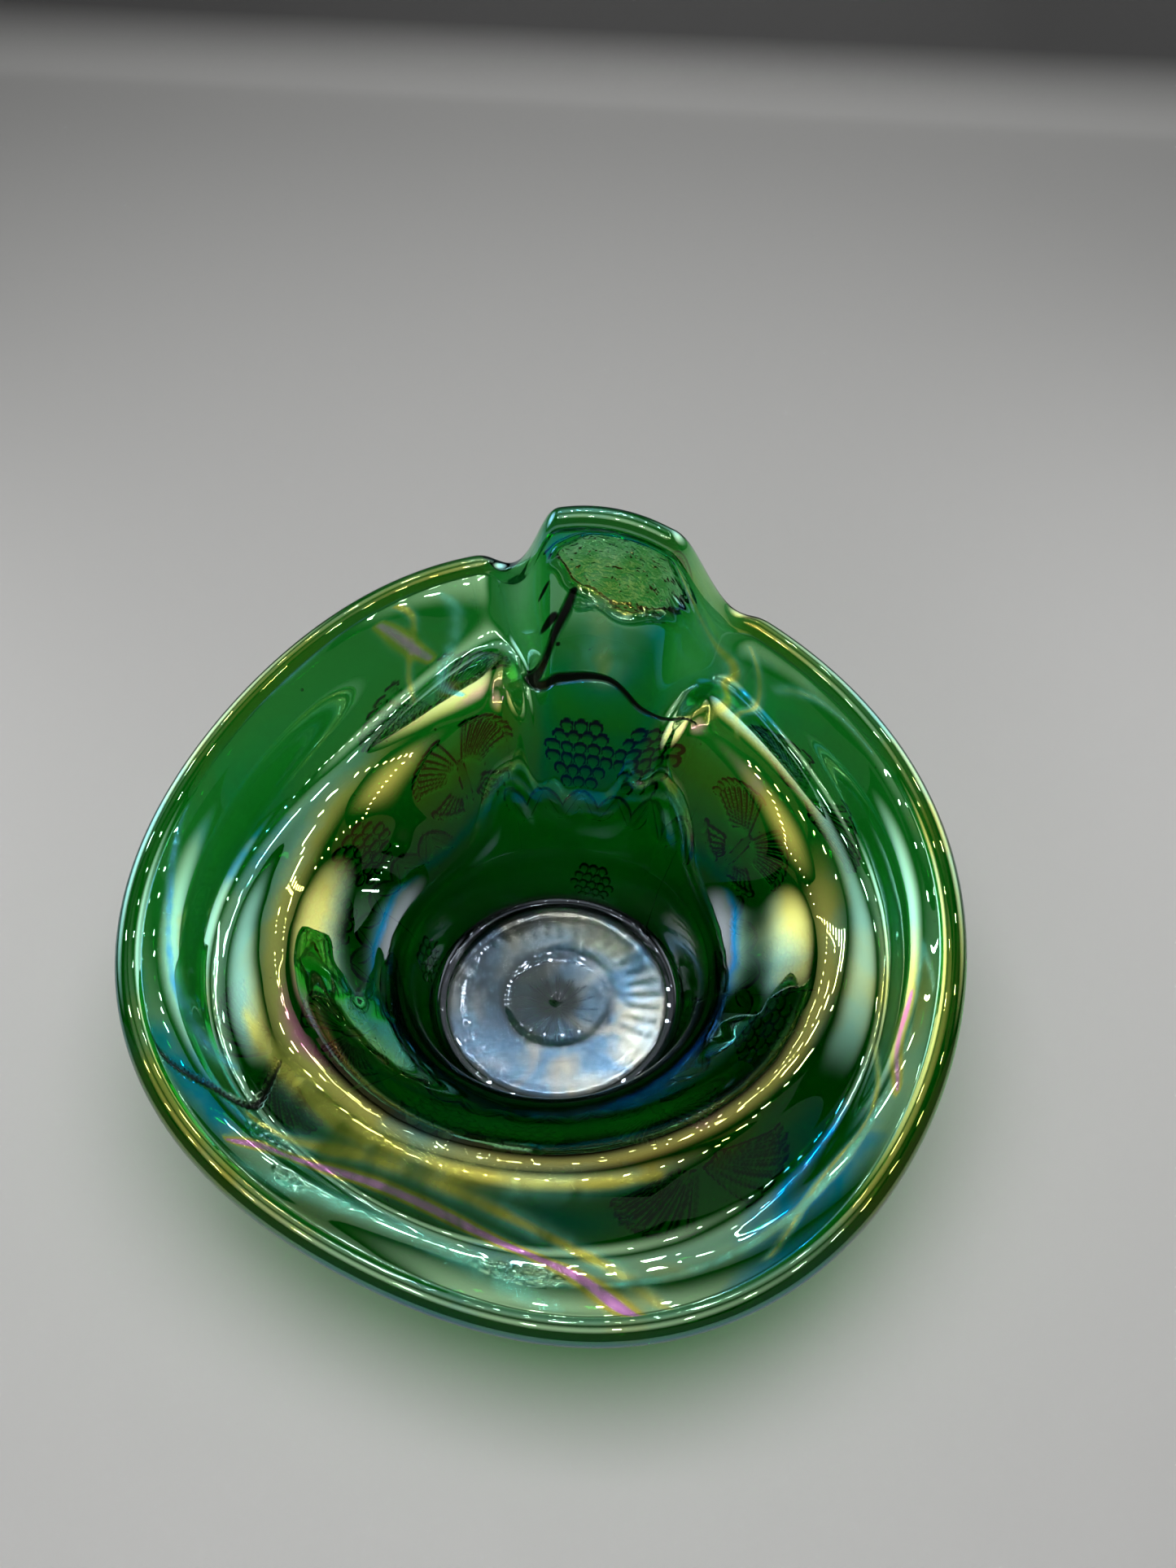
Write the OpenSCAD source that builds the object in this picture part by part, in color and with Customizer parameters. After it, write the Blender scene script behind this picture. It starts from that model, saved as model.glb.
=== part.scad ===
// Hand-swung glass bowl: a pressed, patterned tumbler whose mouth was reheated, flared into a
// thick rolled brim and pulled up at the back into a narrow neck. Millimetres, +Z up, the origin
// at the middle of the ground foot, and the low side of the brim towards -Y.

/* [Foot and floor] */
// Outer radius of the ground foot ring
foot_r = 30.5; // [29:0.5:31]
// Height of the foot ring
foot_h = 3; // [2.5:0.5:4]
// Radius of the flat inner floor, which is also the foot ring's inner radius
floor_r = 25; // [24:0.5:26]
// Height of the inner floor above the table
floor_z = 9; // [8:0.5:10]
// Depth of the recess under the base
recess = 2; // [1.5:0.25:2.25]
// Number of rays of the star pressed under the base
star_rays = 16; // [8:1:24]
// Radius of that star
star_r = 12; // [8:1:20]

/* [Wall] */
// Height of the fused joint between the turned cup wall and the hand-shaped glass above it
joint_z = 20; // [19:0.5:21]
// Thickness of the glass at the throat
throat_t = 5.4; // [4.5:0.1:6]
// Thickness of the brim just inside its bead
lip_t = 3.8; // [3:0.1:4.4]

/* [Brim] */
// Mean radius of the bead's centre line
brim_r = 78.3; // [74:0.5:82]
// Mean height of the bead's centre line
rim_mid_z = 50; // [47:0.5:53]
// How much higher the back of the brim is than its mean, and how much lower the front
rim_tilt = 21.5; // [15:0.5:23]
// Height of the rolled ridge round the throat at the front
ridge_low_z = 37.5; // [36:0.5:39]
// How much the ridge climbs towards the neck
ridge_climb = 30; // [24:1:32]
// Radius of the fire-polished lip bead
lip_r = 2.6; // [2.3:0.1:3]

/* [Neck] */
// Direction of the neck, counter-clockwise from +X
neck_dir = 78; // [60:1:100]
// Radius at which the top of the neck stands
neck_r = 60; // [56:1:64]
// How much the bead rises at the neck above the tilted brim
neck_rise = 25; // [18:1:27]
// Width of the oval mark left by the grip, in degrees
grip_w = 26; // [16:1:28]

/* [Pressed pattern] */
// Number of repeats of the pattern round the wall
panels = 4; // [3:1:4]
// Height of the berries and leaves above the wall
relief_h = 0.9; // [0.5:0.1:1.2]

/* [Hidden] */

glass = "#157a34";
pale_glass = "#5fae62";
step = 3;                    // degrees between two neighbouring sections
first_panel = 28;            // direction of the first butterfly
bite = 0.15;                 // how far the pattern's feet are fused into the wall
JOINT_U = 3;                 // the spline parameter at the fused joint
TIP_U = 11;                  // the spline parameter at the edge of the lip bead
neck_from = 51;              // the neck's two fused sides, both multiples of step
neck_to = 105;

// Slow waves left in the brim by the hand tool: amount in mm, waves per turn, direction of a crest
brim_waves = [[1.5, 1, 223], [2.3, 2, -20], [1.5, 3, -41], [1.4, 4, 15]];

// ---- small helpers ----
function mix(a, b, w) = a + (b - a) * w;
function ease(x) = let (c = max(0, min(1, x))) c * c * c * (c * (6 * c - 15) + 10);
function turn(a, from) = (a - from + 540) % 360 - 180;
function sum(v, i = 0) = i < len(v) ? v[i] + sum(v, i + 1) : 0;
function unit(v) = v / norm(v);
function right_of(v) = [v.y, -v.x];

// 1 across the neck, easing to 0 over a ramp on its right and another on its left
function neck_hill(a, right, right_ramp, left, left_ramp) =
    let (d = turn(a, neck_dir))
    ease((right + right_ramp + d) / right_ramp) * ease((left + left_ramp - d) / left_ramp);
// How much of the section is the neck's rather than the brim's
function neck_share(a) = neck_hill(a, 10, 17.5, 12.5, 14);
// The same for one of four rows of control points: the lower ones open into the neck more gradually
function row_share(a, k) =
    neck_hill(a, mix(3, 10, k / 3), mix(30, 17.5, k / 3), mix(5, 12.5, k / 3), mix(30, 14, k / 3));
// How much of neck_rise the lip has: its top is arched, 7% lower at 14 degrees from the middle
function neck_lift(a) = neck_hill(a, 11, 13, 10.5, 13) * (1 - 0.07 * pow(turn(a, neck_dir) / 14, 2));
// 1 at the neck and fading round the throat: the ridge climbs with it
function climb(a) = exp(-pow(turn(a, neck_dir) / 46, 2));

// ---- lines that the hand-shaped glass follows, each by direction a ----
function rim_r(a) =
    mix(brim_r + sum([for (w = brim_waves) w[0] * cos(w[1] * a - w[1] * w[2])]), neck_r,
        neck_share(a));
function rim_z(a) = rim_mid_z + rim_tilt * sin(a) + neck_rise * neck_lift(a);
// How steeply the lip stands, in degrees: steepest at the neck, then the back, and flattest in front
function lip_slope(a) = mix(16 + 27 * sin(a) + 14 * pow(cos(a), 2), 76, neck_share(a));
// The rolled ridge is widest at the sides, and narrower at the neck and in front
function ridge_r(a) = 55 + 3 * pow(cos(a), 2) - 5 * climb(a) - 2 * max(0, -sin(a));
function ridge_z(a) = ridge_low_z + ridge_climb * climb(a);

// The lip's two edges, inner then outer, where the bead takes over
function lip_edges(a) =
    let (t = [cos(lip_slope(a)), sin(lip_slope(a))],
         back = sqrt(lip_r * lip_r - lip_t * lip_t / 4),
         middle = [rim_r(a), rim_z(a)] - back * t)
    [for (side = [-1, 1]) middle + side * lip_t / 2 * right_of(t)];

// ---- control points [r, z] of the inside and the outside, from the floor to the lip ----
// The first four are the same all round, so the glass below the joint is a true turned shape.
wall_in = [[floor_r, floor_z], [28.4, floor_z], [30.6, (6 * joint_z - floor_z - 29) / 4], [34.4, 29]];
wall_out = [[foot_r, foot_h], [31.8, 9], [36.4, (6 * joint_z - 9 - 26.5) / 4], [39.3, 26.5]];
run_out = 7;                 // straight run of the glass before the bead

// From the throat over the rolled ridge, and on to nearly half way out to the lip
function brim_points(a) =
    let (r = ridge_r(a), z = ridge_z(a), R = rim_r(a), Z = rim_z(a))
    [[r - 11, z - 5.5], [r - 4, z + 1.5], [r + 4, z + 2], [mix(r + 3, R, 0.42), mix(z, Z, 0.3) - 4.5]];
// Spread along a line from the joint to the lip that bows out 2 mm
function neck_points(a) =
    [for (f = [0.19, 0.37, 0.55, 0.73])
        [mix(34.4, rim_r(a), f) + 2 * sin(180 * f), mix(29, rim_z(a), f)]];
function inner_net(a) =
    let (b = brim_points(a), n = neck_points(a), e = lip_edges(a)[0],
         t = [cos(lip_slope(a)), sin(lip_slope(a))])
    concat(wall_in, [for (k = [0:3]) mix(b[k], n[k], row_share(a, k))], [e - run_out * t, e]);
function outer_net(a) =
    let (p = inner_net(a), e = lip_edges(a)[1], t = [cos(lip_slope(a)), sin(lip_slope(a))])
    concat(wall_out,
           [for (k = [4:7]) p[k] + mix(throat_t, lip_t, (k - 4) / 4) * unit(right_of(p[k + 1] - p[k - 1]))],
           [e - run_out * t, e]);

// A uniform cubic B-spline whose end points are tripled, so it starts and ends on them
function spline(net, u) =
    let (n = len(net), p = concat([net[0], net[0]], net, [net[n - 1], net[n - 1]]),
         i = min(floor(u), n), s = u - i, q = 1 - s)
    (q * q * q * p[i] + (3 * s * s * s - 6 * s * s + 4) * p[i + 1]
     + (1 + 3 * s + 3 * s * s - 3 * s * s * s) * p[i + 2] + s * s * s * p[i + 3]) / 6;
function around(a, p) = [p.x * cos(a), p.x * sin(a), p.y];

// ---- the turned glass ----
module foot_ring() {
    edge = 0.8;
    color(glass)
        rotate_extrude($fn = 120)
            polygon([[floor_r, 0.4], [floor_r + edge, 0], [foot_r - edge, 0], [foot_r, 0.6],
                     [foot_r, foot_h], [floor_r, foot_h]]);
}

module base_disc() {
    color(glass)
        translate([0, 0, recess])
            cylinder(h = floor_z - recess, r = floor_r, $fn = 120);
}

module base_star() {
    depth = 0.6;
    color(pale_glass)
        translate([0, 0, recess - depth])
            linear_extrude(depth)
                polygon([for (k = [0:2 * star_rays - 1])
                    (k % 2 == 0 ? star_r : star_r / 5) * [cos(k * 180 / star_rays), sin(k * 180 / star_rays)]]);
}

module cup_wall() {
    rows = 12;
    color(glass)
        rotate_extrude($fn = 120)
            polygon(concat([for (k = [0:rows]) spline(wall_in, k * JOINT_U / rows)],
                           [for (k = [rows:-1:0]) spline(wall_out, k * JOINT_U / rows)],
                           [[floor_r, foot_h]]));
}

// ---- the hand-shaped glass ----
// Closed section rings, one for each direction, joined into one skin
module skin(rings, closed) {
    m = len(rings[0]);
    n = len(rings);
    last = closed ? n - 1 : n - 2;
    side = [for (i = [0:last], k = [0:m - 1])
        let (j = (i + 1) % n, l = (k + 1) % m, a = i * m + k, b = i * m + l, c = j * m + l, d = j * m + k)
        each [[a, b, c], [a, c, d]]];
    caps = closed ? [] : [[for (k = [m - 1:-1:0]) k], [for (k = [0:m - 1]) (n - 1) * m + k]];
    polyhedron(points = [for (r = rings) each r], faces = concat(side, caps), convexity = 6);
}

// The section from the joint out to the bead's edges and back underneath
function shell_ring(a) =
    let (p = inner_net(a), q = outer_net(a), rows = 16, du = (TIP_U - JOINT_U) / rows)
    [for (k = [0:rows]) around(a, spline(p, JOINT_U + k * du)),
     for (k = [rows:-1:0]) around(a, spline(q, JOINT_U + k * du))];

module flared_brim() {
    color(glass)
        skin([for (a = [neck_to:step:neck_from + 360]) shell_ring(a)], false);
}

module pulled_neck() {
    color(pale_glass)
        skin([for (a = [neck_from:step:neck_to]) shell_ring(a)], false);
}

// The bead is the part of a circle that lies outside the lip's two edges
function bead_ring(a) =
    let (c = [rim_r(a), rim_z(a)], e = lip_edges(a), points = 9,
         from = atan2(e[0].y - c.y, e[0].x - c.x), half = 180 - asin(lip_t / 2 / lip_r))
    [for (k = [0:points]) around(a, c + lip_r * [cos(from - 2 * half * k / points),
                                                 sin(from - 2 * half * k / points)])];

module lip_bead() {
    color(pale_glass)
        skin([for (a = [0:step:360 - step]) bead_ring(a)], true);
}

// ---- raised pieces, placed by direction a and spline parameter u ----
function on_outside(a, u) = around(a, spline(outer_net(a), u));
function on_inside(a, u) = around(a, spline(inner_net(a), u));
function outside_normal(a, u) =
    unit(cross(on_outside(a + 0.5, u) - on_outside(a - 0.5, u), on_outside(a, u + 0.05) - on_outside(a, u - 0.05)));

// A low dome on the outside: wide by long (degrees by u), turned so that its length leans
module bump(a, u, wide, long, lean = 0, high = relief_h, sides = 6) {
    n = outside_normal(a, u);
    function foot(k, s) =
        let (x = s * wide * cos(k * 360 / sides), y = s * long * sin(k * 360 / sides), per_u = 16)
        on_outside(a + x * cos(lean) - y * per_u * sin(lean),
                   u + x / per_u * sin(lean) + y * cos(lean));
    low = [for (k = [0:sides - 1]) foot(k, 1) - bite * n];
    mid = [for (k = [0:sides - 1]) foot(k, 0.65) + 0.7 * high * n];
    middle = on_outside(a, u);
    faces = [for (k = [0:sides - 1]) let (l = (k + 1) % sides, top = 2 * sides, under = top + 1)
        each [[k, l, under], [k, k + sides, l], [l, k + sides, l + sides], [k + sides, top, l + sides]]];
    polyhedron(points = concat(low, mid, [middle + high * n, middle - bite * n]), faces = faces, convexity = 2);
}

// Offset rows of berries that narrow to a point, as a hanging cluster does
module cluster(a, u, rows, wide, tall, size) {
    for (r = [0:len(rows) - 1], k = [0:rows[r] - 1])
        bump(a + (k - (rows[r] - 1) / 2) * wide, u - r * tall, size * wide, size * tall * 1.1);
}

module upper_berries() {
    color(glass)
        for (p = [0:panels - 1], side = [-1, 1])
            cluster(first_panel + (p + 0.5) * 360 / panels + side * 9.5, 5.55, [3, 4, 4, 3], 4.2, 0.24, 0.46);
}

module lower_berries() {
    color(glass)
        for (p = [0:panels - 1])
            cluster(first_panel + (p + 0.5) * 360 / panels + 6, 2.35, [3, 4, 3], 5, 0.3, 0.44);
}

module leaf_band() {
    color(glass)
        for (p = [0:panels - 1], k = [-3:3])
            bump(first_panel + (p + 0.5) * 360 / panels + 9.4 * k, 4.15 + 0.1 * cos(180 * k), 3.6, 0.12,
                 k % 2 == 0 ? 20 : -20);
}

// Ribs that fan out on both sides of a body
module fan(a, u, ribs, reach, rib_w, rib_l, lift) {
    for (side = [-1, 1], k = [0:ribs - 1])
        let (lean = side * (18 + k * 60 / ribs))
        bump(a - side * reach * sin(abs(lean)), u + lift * cos(lean), rib_w, rib_l, lean);
}

module butterflies() {
    color(glass)
        for (p = [0:panels - 1]) {
            a = first_panel + p * 360 / panels;
            bump(a, 4.7, 1.1, 0.5);
            fan(a, 4.75, 4, 11, 0.9, 0.3, 0.55);
        }
}

module brim_wings() {
    color(glass)
        for (p = [0:panels - 1]) {
            a = first_panel + p * 360 / panels;
            fan(a, 7.4, 4, 12, 0.7, 0.42, 0.7);
        }
}

// The chilled, crinkled oval where the neck was gripped, standing a little proud of its inside
module grip_mark() {
    rows = 7;
    sides = 18;
    middle_u = 9.1;
    half_u = 1.15;
    function lift(s, k) = 0.6 * (1 - s * s) + 0.22 * sin(s * 500 + k * 100) * (1 - s);
    function spot(s, k) =
        on_inside(neck_dir - 2.5 + s * grip_w / 2 * cos(k * 360 / sides), middle_u + s * half_u * sin(k * 360 / sides));
    inward = [-cos(neck_dir), -sin(neck_dir), 0.3];
    front = [for (i = [1:rows], k = [0:sides - 1]) spot(i / rows, k) + lift(i / rows, k) * inward];
    back = [for (i = [1:rows], k = [0:sides - 1]) spot(i / rows, k) - bite * inward];
    n = rows * sides;
    points = concat(front, back, [spot(0, 0) + 0.6 * inward, spot(0, 0) - bite * inward]);
    function ring(o, i, k) = o + i * sides + k % sides;
    faces = [for (k = [0:sides - 1]) each concat(
        [[2 * n, ring(0, 0, k + 1), ring(0, 0, k)], [2 * n + 1, ring(n, 0, k), ring(n, 0, k + 1)]],
        [for (i = [0:rows - 2]) each [
            [ring(0, i, k), ring(0, i, k + 1), ring(0, i + 1, k + 1)],
            [ring(0, i, k), ring(0, i + 1, k + 1), ring(0, i + 1, k)],
            [ring(n, i, k), ring(n, i + 1, k + 1), ring(n, i, k + 1)],
            [ring(n, i, k), ring(n, i + 1, k), ring(n, i + 1, k + 1)]]],
        [[ring(0, rows - 1, k), ring(0, rows - 1, k + 1), ring(n, rows - 1, k + 1)],
         [ring(0, rows - 1, k), ring(n, rows - 1, k + 1), ring(n, rows - 1, k)]])];
    color(pale_glass)
        polyhedron(points = points, faces = faces, convexity = 4);
}

foot_ring();
base_disc();
base_star();
cup_wall();
flared_brim();
pulled_neck();
lip_bead();
grip_mark();
upper_berries();
lower_berries();
leaf_band();
butterflies();
brim_wings();
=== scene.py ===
"""The look of a hand-swung iridescent glass bowl, built round its packed frame."""

import math
import random

import bmesh
import bpy
import numpy as np
from bpy.props import FloatProperty, FloatVectorProperty, IntProperty, PointerProperty
from mathutils import Matrix, Vector


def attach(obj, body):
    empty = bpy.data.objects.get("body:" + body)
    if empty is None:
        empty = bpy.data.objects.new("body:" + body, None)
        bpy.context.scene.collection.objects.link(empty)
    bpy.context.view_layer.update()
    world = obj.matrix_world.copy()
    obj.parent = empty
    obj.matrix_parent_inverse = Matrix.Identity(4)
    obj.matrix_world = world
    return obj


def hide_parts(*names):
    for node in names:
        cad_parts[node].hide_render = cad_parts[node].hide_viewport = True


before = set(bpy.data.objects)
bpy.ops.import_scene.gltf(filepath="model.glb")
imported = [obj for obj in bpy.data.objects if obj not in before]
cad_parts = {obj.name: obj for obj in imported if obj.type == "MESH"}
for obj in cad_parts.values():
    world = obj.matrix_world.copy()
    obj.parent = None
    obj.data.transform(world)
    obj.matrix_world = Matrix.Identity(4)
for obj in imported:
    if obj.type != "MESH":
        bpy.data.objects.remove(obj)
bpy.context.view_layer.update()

bl_info = {
    "name": "Swung Glass Bowl",
    "version": (1, 0, 0),
    "blender": (4, 5, 0),
    "location": "View3D > Sidebar > Bowl",
    "description": "Builds a hand-swung iridescent glass bowl with a pressed pattern",
    "category": "Add Mesh",
}

# ---------------------------------------------------------------- sizes of the glass, in mm

MM = 0.001
FOOT_R, FOOT_H = 30.5, 3.0
FLOOR_R, FLOOR_Z, RECESS = 25.0, 9.0, 2.0
JOINT_Z = 20.0
THROAT_T, LIP_T, LIP_R = 5.4, 3.8, 2.6
BRIM_R, RIM_MID_Z, RIM_TILT = 78.3, 50.0, 21.5
RIDGE_LOW_Z, RIDGE_CLIMB = 37.5, 30.0
NECK_DIR, NECK_R, NECK_RISE = 78.0, 60.0, 25.0
RUN_OUT = 7.0
BRIM_WAVES = ((1.5, 1, 223), (2.3, 2, -20), (1.5, 3, -41), (1.4, 4, 15))
WALL_IN = ((FLOOR_R, FLOOR_Z), (28.4, FLOOR_Z), (30.6, (6 * JOINT_Z - FLOOR_Z - 29) / 4), (34.4, 29))
WALL_OUT = ((FOOT_R, FOOT_H), (31.8, 9), (36.4, (6 * JOINT_Z - 9 - 26.5) / 4), (39.3, 26.5))

# Places on the glass: a is degrees round from +X, u runs along the section from floor to lip
JOINT_U, THROAT_U, TIP_U = 3.0, 6.2, 11.0
NECK_FROM, NECK_TO = 51.0, 105.0
HAIR_U, HAIR_A = 0.0004, 0.004       # how far fused faces stand apart
SPIN_R = 10.0                        # a section is spun at this radius, then moved to its place
MM_A, MM_U = 0.74, 13.0              # the pattern's millimetres to a degree and to a step of u


# ---------------------------------------------------------------- the smooth form

def mix(a, b, share):
    return a + (b - a) * share


def ease(x):
    x = np.clip(x, 0, 1)
    return x * x * x * (x * (6 * x - 15) + 10)


def turn(a, start):
    """Degrees from start to a, between -180 and 180."""
    return (a - start + 180) % 360 - 180


def cosd(a):
    return np.cos(np.radians(a))


def sind(a):
    return np.sin(np.radians(a))


def around(a, r, z):
    return np.array([r * cosd(a), r * sind(a), z + 0 * a])


def neck_hill(a, right, right_ramp, left, left_ramp):
    """1 across the neck, easing to 0 over a ramp on its right and another on its left."""
    d = turn(a, NECK_DIR)
    return ease((right + right_ramp + d) / right_ramp) * ease((left + left_ramp - d) / left_ramp)


def neck_share(a):
    return neck_hill(a, 10, 17.5, 12.5, 14)


def row_share(a, k):
    """The neck's share for one of four rows of control points: the lower ones blend more gradually."""
    return neck_hill(a, *(mix(low, high, k / 3) for low, high in ((3, 10), (30, 17.5), (5, 12.5), (30, 14))))


def climb(a):
    return np.exp(-(turn(a, NECK_DIR) / 46) ** 2)


def lip_frame(a):
    """The bead's centre line, the way out along the lip and the way to its inside, as (r, z)."""
    share = neck_share(a)
    waves = sum(size * cosd(count * (a - crest)) for size, count, crest in BRIM_WAVES)
    lift = neck_hill(a, 11, 13, 10.5, 13) * (1 - 0.07 * (turn(a, NECK_DIR) / 14) ** 2)
    centre = np.array([mix(BRIM_R + waves, NECK_R, share), RIM_MID_Z + RIM_TILT * sind(a) + NECK_RISE * lift])
    slope = mix(16 + 27 * sind(a) + 14 * cosd(a) ** 2, 76, share)
    out = np.array([cosd(slope), sind(slope)])
    return centre, out, np.array([-out[1], out[0]])


def control_nets(a):
    """Control points of the inside and the outside at directions a: two arrays, (2, 10, n)."""
    one = np.ones_like(a)
    centre, out, inward = lip_frame(a)
    share, up = neck_share(a), climb(a)
    r = 55 + 3 * cosd(a) ** 2 - 5 * up - 2 * np.maximum(0, -sind(a))
    z = RIDGE_LOW_Z + RIDGE_CLIMB * up
    brim = [(r - 11, z - 5.5), (r - 4, z + 1.5), (r + 4, z + 2),
            (mix(r + 3, centre[0], 0.42), mix(z, centre[1], 0.3) - 4.5)]
    neck = [(mix(34.4, centre[0], f) + 2 * math.sin(math.pi * f), mix(29, centre[1], f))
            for f in (0.19, 0.37, 0.55, 0.73)]
    edge = centre - math.sqrt(LIP_R ** 2 - LIP_T ** 2 / 4) * out
    inner = [np.array([p[0] * one, p[1] * one]) for p in WALL_IN]
    inner += [mix(np.array(brim[k]), np.array(neck[k]), row_share(a, k)) for k in range(4)]
    inner += [edge + inward * LIP_T / 2 - RUN_OUT * out, edge + inward * LIP_T / 2]
    outer = [np.array([p[0] * one, p[1] * one]) for p in WALL_OUT]
    for k in range(4, 8):
        way = inner[k + 1] - inner[k - 1]
        way = way / np.hypot(*way)
        outer.append(inner[k] + mix(THROAT_T, LIP_T, (k - 4) / 4) * np.array([way[1], -way[0]]))
    outer += [edge - inward * LIP_T / 2 - RUN_OUT * out, edge - inward * LIP_T / 2]
    return [np.array(net).transpose(1, 0, 2) for net in (inner, outer)]


def spline(net, u):
    """Points at u on the uniform cubic B-spline whose end control points are tripled."""
    count = net.shape[1]
    i = np.clip(np.floor(u).astype(int), 0, count)
    s = u - i
    q = 1 - s
    weights = (q ** 3, 3 * s ** 3 - 6 * s ** 2 + 4, 1 + 3 * s + 3 * s ** 2 - 3 * s ** 3, s ** 3)
    columns = np.arange(len(u))
    return sum(w * net[:, np.clip(i + k - 2, 0, count - 1), columns] for k, w in enumerate(weights)) / 6


def lip_half(s):
    """Half the lip's thickness s mm in from the bead's centre line: a slab swelling into a bead."""
    bead = np.sqrt(np.maximum(LIP_R ** 2 - s ** 2, 0))
    slab = LIP_T / 2 * ease((s + 1) / 2)
    return (bead ** 8 + slab ** 8) ** 0.125


def skin(a, u, outside):
    """The smooth surface, inside or outside: (3, n)."""
    inner, outer = control_nets(a)
    p = np.where(outside, spline(outer, u), spline(inner, u))
    centre, out, inward = lip_frame(a)
    swell = lip_half(((centre - p) * out).sum(0)) - LIP_T / 2
    swell = np.where(u > TIP_U - 2, np.maximum(swell, 0), 0)
    p = p + np.where(outside, -1, 1) * swell * inward
    return around(a, p[0], p[1])


def bead(a, side):
    """The lip's rounded edge, from its inside at side 0 to its outside at side 1: (3, n)."""
    centre, out, inward = lip_frame(a)
    half_turn = math.degrees(math.pi - math.asin(LIP_T / 2 / LIP_R))
    phi = (1 - 2 * side) * half_turn
    s = -LIP_R * cosd(phi)
    thick = (np.abs(LIP_R * sind(phi)) ** 8 + (LIP_T / 2 * ease((s + 1) / 2)) ** 8) ** 0.125
    p = centre - s * out + np.sign(phi) * thick * inward
    return around(a, p[0], p[1])


# ---------------------------------------------------------------- pressed pattern, in mm of height

PANELS, FIRST_PANEL = 4, 28.0
BERRY_R, BERRY_X, BERRY_Y = 1.5, 3.0, 2.65


def dome(d):
    return np.sqrt(np.maximum(1 - d * d, 0))


def from_panel(a, middle):
    """Pattern millimetres across from the nearest repeat of a line of the pattern."""
    pitch = 360 / PANELS
    return ((a - middle + pitch / 2) % pitch - pitch / 2) * MM_A


def leaned(x, y, lean):
    c, s = cosd(lean), sind(lean)
    return x * c - y * s, x * s + y * c


def bunch(x, y, counts):
    """Rows of berries, y mm down from the top row."""
    row = np.clip(np.round(y / BERRY_Y), 0, len(counts) - 1).astype(int)
    middle = (np.array(counts)[row] - 1) / 2
    k = np.clip(np.round(x / BERRY_X + middle), 0, 2 * middle)
    return 1.15 * dome(np.hypot(x - (k - middle) * BERRY_X, y - row * BERRY_Y) / BERRY_R)


def berries(a, u):
    """Two bunches to a panel above the leaves, and one below them."""
    x = from_panel(a, FIRST_PANEL + 180 / PANELS)
    upper = bunch(np.abs(x) - 7.6, (5.68 - u) * MM_U, (3, 4, 5, 5, 4, 3))
    lower = bunch(x - 1.5, (2.5 - u) * MM_U, (3, 4, 5, 4, 3))
    return np.maximum(upper, lower)


def leaves(a, u):
    """A band of veined leaves that lap over each other."""
    pitch, most = 4.6, 5
    x = from_panel(a, FIRST_PANEL + 180 / PANELS)
    h = np.zeros_like(a)
    nearest = np.round(x / pitch)
    for step in (-1, 0, 1):
        k = np.clip(nearest + step, -most, most)
        sx, sy = leaned(x - k * pitch, (u - 4.2) * MM_U + 0.05 * k * k, np.where(k % 2 == 0, 60, 120))
        width = 2.2 * dome(sx / 4.4)
        across = 1 - np.abs(sy) / np.maximum(width, 1e-3)
        vein = 0.35 * np.exp(-(sy / 0.28) ** 2)
        h = np.maximum(h, np.where(across > 0, 0.95 * np.sqrt(np.maximum(across, 0)) - vein, 0))
    return h


def fan(x, y, ribs, first, last, inner, outer, thick):
    """Ribs fanning out on both sides of a body, each ending in a rounded scallop."""
    h = np.zeros_like(x)
    for k in range(ribs):
        share = k / (ribs - 1)
        sx, sy = leaned(np.abs(x), y, mix(first, last, share))
        reach = outer * mix(1, 0.72, share)
        rib = np.exp(-(sx / thick) ** 2) * ease((sy - inner) / 2) * ease((reach - sy) / 1.2)
        tip = dome(np.hypot(sx / 1.3, (sy - reach) / 0.8))
        h = np.maximum(h, np.maximum(0.8 * rib, 0.9 * tip))
    return h


def butterflies(a, u):
    """A body with fore and hind wings, and a high fan above it."""
    x, y = from_panel(a, FIRST_PANEL), (u - 4.8) * MM_U
    body = 0.8 * dome(np.hypot(x / 1.1, y / 5))
    fore, hind = fan(x, y, 8, 12, 66, 3, 15, 0.42), fan(x, y, 5, 108, 150, 3, 9, 0.42)
    high = fan(x, y - 27, 7, 14, 66, 2, 18, 0.5)
    return np.maximum.reduce([body, fore, hind, high])


def mould_seams(a, u):
    x = ((a - 14.5) % 60 - 30) * MM_A
    return 0.18 * np.exp(-(x / 0.25) ** 2) * ease((8 - u) / 2)


def pattern(a, u):
    """Everything that the mould pressed into the outside."""
    return np.maximum.reduce([berries(a, u), leaves(a, u), butterflies(a, u), mould_seams(a, u)])


# ---------------------------------------------------------------- marks of hand and tool, in mm

# Folds left by pulling the neck and by laying over the brim: (direction, u, half width in mm)
NECK_FOLD = ((85.8, 8.35, 0.7), (87.5, 7.9, 1.0), (93.5, 7.1, 1.0), (98, 6.6, 1.5), (88, 6.66, 1.1),
             (80, 6.72, 0.8), (74, 6.68, 0.6), (66, 6.25, 0.5), (60, 6.1, 0.4), (51, 5.95, 0.2))
BRIM_FOLD = ((199, 10.9, 0.35), (204, 10.2, 0.5), (209.5, 9.3, 0.5), (216, 8.4, 0.6), (214.5, 7.6, 0.5),
             (212, 7.0, 0.2))
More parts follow.
